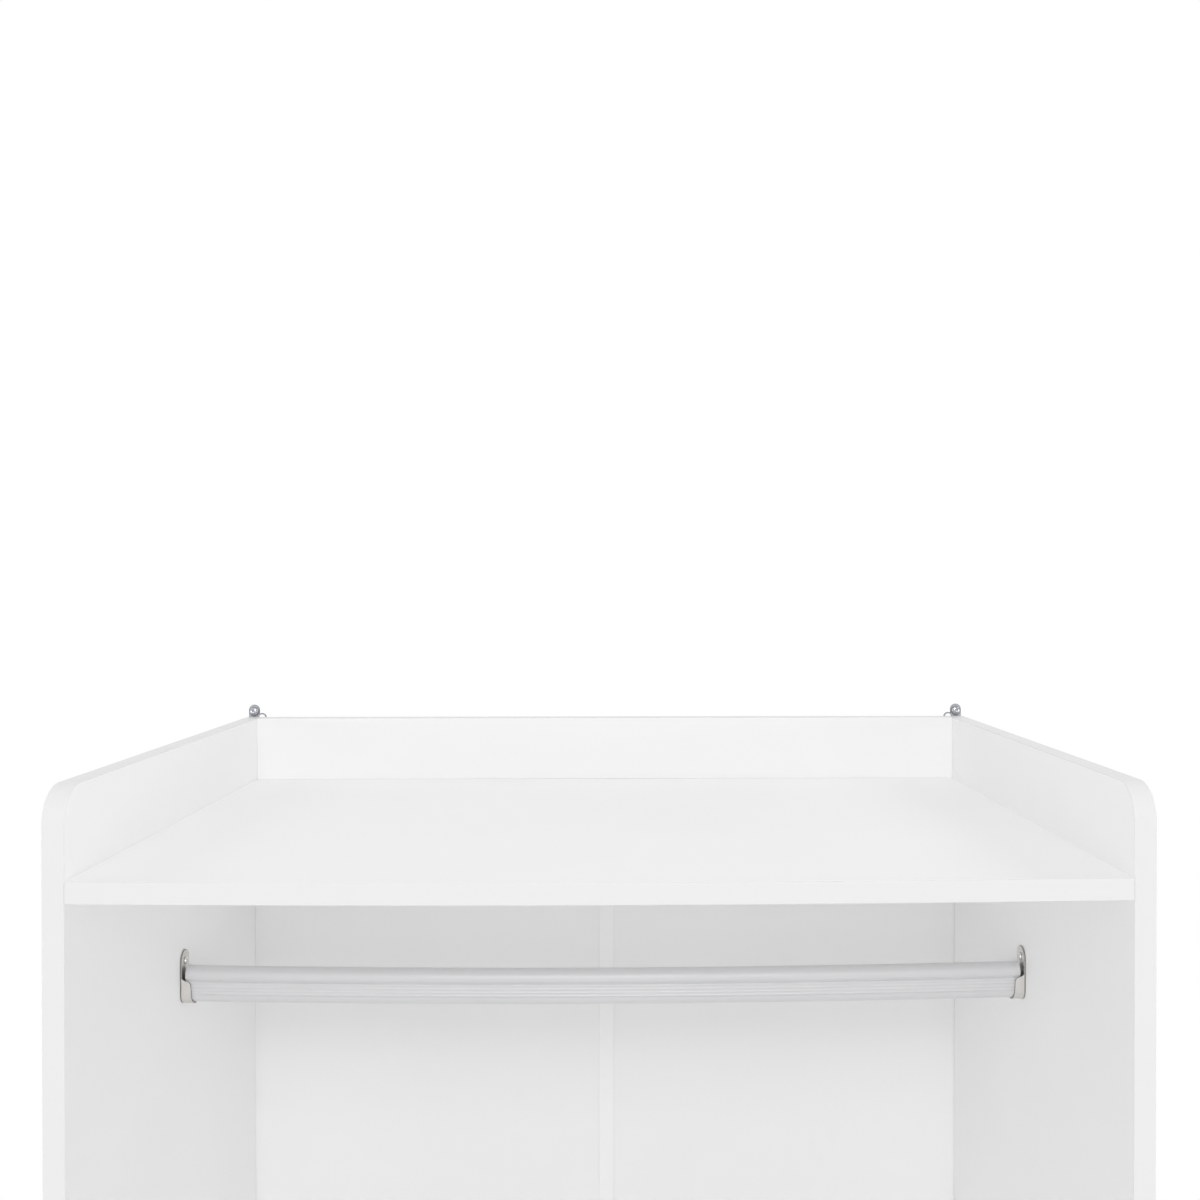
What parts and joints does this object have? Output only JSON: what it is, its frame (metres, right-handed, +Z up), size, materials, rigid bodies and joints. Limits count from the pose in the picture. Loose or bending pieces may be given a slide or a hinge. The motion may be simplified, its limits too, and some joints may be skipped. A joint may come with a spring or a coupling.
{
  "type": "open wardrobe with drawers",
  "caption": "Open white wardrobe with a tray top, rounded side corners, an oval clothes rail in open cups, and finger-grip drawers on ball slides below.",
  "frame": {"origin": "on the floor under the centre of the carcass", "axes": "+Z up; the open front faces -Y and the back faces +Y; +X is to the right as seen from the front"},
  "size_m": [0.74, 0.4537, 1.2125],
  "materials": {
    "white_melamine": "satin white melamine on particle board",
    "white_hardboard": "white lacquered hardboard",
    "white_profile": "extruded white plastic",
    "glide_plastic": "moulded white plastic",
    "anodised_aluminium": "anodised, finely ribbed",
    "cup_steel": "pressed, nickel plated",
    "screw_steel": "nickel plated",
    "hanger_steel": "pressed, zinc plated",
    "connector_steel": "zinc plated",
    "slide_steel": "rolled, zinc plated",
    "cage_steel": "pressed cage with bearing balls"
  },
  "bodies": {
    "carcass": {"side_panel_left": "white_melamine", "side_panel_right": "white_melamine", "top_shelf": "white_melamine", "bay_top": "white_melamine", "bottom_panel": "white_melamine", "tray_rear_rail": "white_melamine", "plinth_board": "white_melamine", "back_panel_left": "white_hardboard", "back_panel_right": "white_hardboard", "back_joiner_strip": "white_profile", "connector_bottom_panel_front_left": "connector_steel", "connector_bottom_panel_front_right": "connector_steel", "connector_bottom_panel_rear_left": "connector_steel", "connector_bottom_panel_rear_right": "connector_steel", "connector_bay_top_front_left": "connector_steel", "connector_bay_top_front_right": "connector_steel", "connector_bay_top_rear_left": "connector_steel", "connector_bay_top_rear_right": "connector_steel", "connector_top_shelf_front_left": "connector_steel", "connector_top_shelf_front_right": "connector_steel", "connector_top_shelf_rear_left": "connector_steel", "connector_top_shelf_rear_right": "connector_steel", "glide_front_left": "glide_plastic", "glide_front_right": "glide_plastic", "glide_rear_left": "glide_plastic", "glide_rear_right": "glide_plastic", "rail_cup_left": "cup_steel", "rail_cup_screw_left": "screw_steel", "rail_cup_right": "cup_steel", "rail_cup_screw_right": "screw_steel", "wall_hanger_left": "hanger_steel", "wall_hanger_bolt_left": "screw_steel", "wall_hanger_screw_left": "screw_steel", "wall_hanger_right": "hanger_steel", "wall_hanger_bolt_right": "screw_steel", "wall_hanger_screw_right": "screw_steel", "lower_drawer_cabinet_slide_left": "slide_steel", "lower_drawer_cabinet_slide_right": "slide_steel", "upper_drawer_cabinet_slide_left": "slide_steel", "upper_drawer_cabinet_slide_right": "slide_steel"},
    "clothes_rail": {"clothes_rail": "anodised_aluminium"},
    "lower_drawer": {"lower_drawer_front": "white_melamine", "lower_drawer_side_left": "white_melamine", "lower_drawer_side_right": "white_melamine", "lower_drawer_back": "white_melamine", "lower_drawer_bottom": "white_hardboard", "lower_drawer_drawer_slide_left": "slide_steel", "lower_drawer_drawer_slide_right": "slide_steel"},
    "upper_drawer": {"upper_drawer_front": "white_melamine", "upper_drawer_side_left": "white_melamine", "upper_drawer_side_right": "white_melamine", "upper_drawer_back": "white_melamine", "upper_drawer_bottom": "white_hardboard", "upper_drawer_drawer_slide_left": "slide_steel", "upper_drawer_drawer_slide_right": "slide_steel"},
    "lower_drawer_cage_left": {"lower_drawer_ball_cage_left": "cage_steel"},
    "lower_drawer_cage_right": {"lower_drawer_ball_cage_right": "cage_steel"},
    "upper_drawer_cage_left": {"upper_drawer_ball_cage_left": "cage_steel"},
    "upper_drawer_cage_right": {"upper_drawer_ball_cage_right": "cage_steel"}
  },
  "joints": [
    {"name": "rail_lift", "type": "slide", "parent": "carcass", "child": "clothes_rail", "axis": [0, 0, 1], "range_m": [0, 0.05]},
    {"name": "lower_drawer_slide", "type": "slide", "parent": "carcass", "child": "lower_drawer", "axis": [0, -1, 0], "range_m": [0, 0.3]},
    {"name": "lower_drawer_cage_left_slide", "type": "slide", "parent": "carcass", "child": "lower_drawer_cage_left", "axis": [0, -1, 0], "range_m": [0, 0.15]},
    {"name": "lower_drawer_cage_right_slide", "type": "slide", "parent": "carcass", "child": "lower_drawer_cage_right", "axis": [0, -1, 0], "range_m": [0, 0.15]},
    {"name": "upper_drawer_slide", "type": "slide", "parent": "carcass", "child": "upper_drawer", "axis": [0, -1, 0], "range_m": [0, 0.3]},
    {"name": "upper_drawer_cage_left_slide", "type": "slide", "parent": "carcass", "child": "upper_drawer_cage_left", "axis": [0, -1, 0], "range_m": [0, 0.15]},
    {"name": "upper_drawer_cage_right_slide", "type": "slide", "parent": "carcass", "child": "upper_drawer_cage_right", "axis": [0, -1, 0], "range_m": [0, 0.15]}
  ],
  "couplings": [
    {"joint": "lower_drawer_cage_left_slide", "follows": "lower_drawer_slide", "ratio": 0.5},
    {"joint": "lower_drawer_cage_right_slide", "follows": "lower_drawer_slide", "ratio": 0.5},
    {"joint": "upper_drawer_cage_left_slide", "follows": "upper_drawer_slide", "ratio": 0.5},
    {"joint": "upper_drawer_cage_right_slide", "follows": "upper_drawer_slide", "ratio": 0.5}
  ]
}
